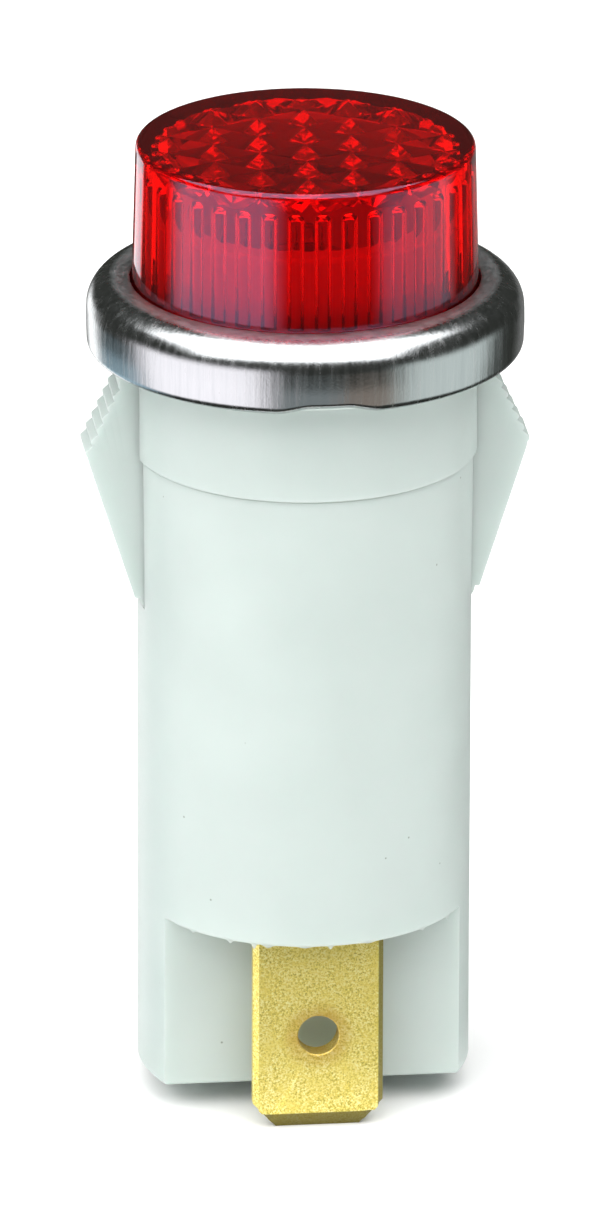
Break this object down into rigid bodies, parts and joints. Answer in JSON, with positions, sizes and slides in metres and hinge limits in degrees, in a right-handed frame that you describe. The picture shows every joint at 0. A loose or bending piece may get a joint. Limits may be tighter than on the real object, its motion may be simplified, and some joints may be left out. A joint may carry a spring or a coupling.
{
  "type": "panel indicator light",
  "caption": "Snap-in panel indicator light: red fluted cap lens in a steel bezel, white tubular body with toothed snap wings, and push-on blade terminals.",
  "frame": {"origin": "on the light's axis, in the plane of the panel's face, where the flange's underside and the bezel's lower edge rest", "axes": "+Z out of the panel through the lens, -Y towards the front terminal, the snap wings on -X and +X"},
  "size_m": [0.0162, 0.0158, 0.0362],
  "materials": {
    "natural_nylon": "satin natural nylon, faintly translucent",
    "stainless_steel": "bright drawn stainless sheet",
    "red_lens": "clear red moulded plastic, gloss",
    "brass": "rolled, stamped, slightly grained",
    "lamp_glass": "clear",
    "nickel": "plain",
    "tinned_wire": "tinned copper, satin",
    "sleeving": "plain",
    "resistor_lacquer": "lacquer",
    "tinned_ferrule": "tinned, crimped",
    "solder": "dull solder"
  },
  "bodies": {
    "body": {"housing": "natural_nylon", "bezel_ring": "stainless_steel", "lens_cap": "red_lens", "front_terminal_tab": "brass", "rear_terminal_tab": "brass", "lamp_envelope": "lamp_glass", "front_electrode": "nickel", "rear_electrode": "nickel", "front_lamp_lead": "tinned_wire", "rear_lamp_lead": "tinned_wire", "resistor_left_lead": "tinned_wire", "resistor_right_lead": "tinned_wire", "front_lead_sleeve": "sleeving", "left_riser_sleeve": "sleeving", "right_riser_sleeve": "sleeving", "resistor_sleeve": "sleeving", "resistor_body": "resistor_lacquer", "lead_splice": "tinned_ferrule", "front_solder_joint": "solder", "rear_solder_joint": "solder"},
    "left_wing": {"left_snap_wing": "natural_nylon"},
    "right_wing": {"right_snap_wing": "natural_nylon"}
  },
  "joints": [
    {"name": "left_wing_flex", "type": "hinge", "parent": "body", "child": "left_wing", "pos_m": [-0.0056, 0, -0.00915], "axis": [0, 1, 0], "range_deg": [0, 17], "stiffness_Nm_per_rad": 0.004},
    {"name": "right_wing_flex", "type": "hinge", "parent": "body", "child": "right_wing", "pos_m": [0.0056, 0, -0.00915], "axis": [0, -1, 0], "range_deg": [0, 17], "stiffness_Nm_per_rad": 0.004}
  ]
}
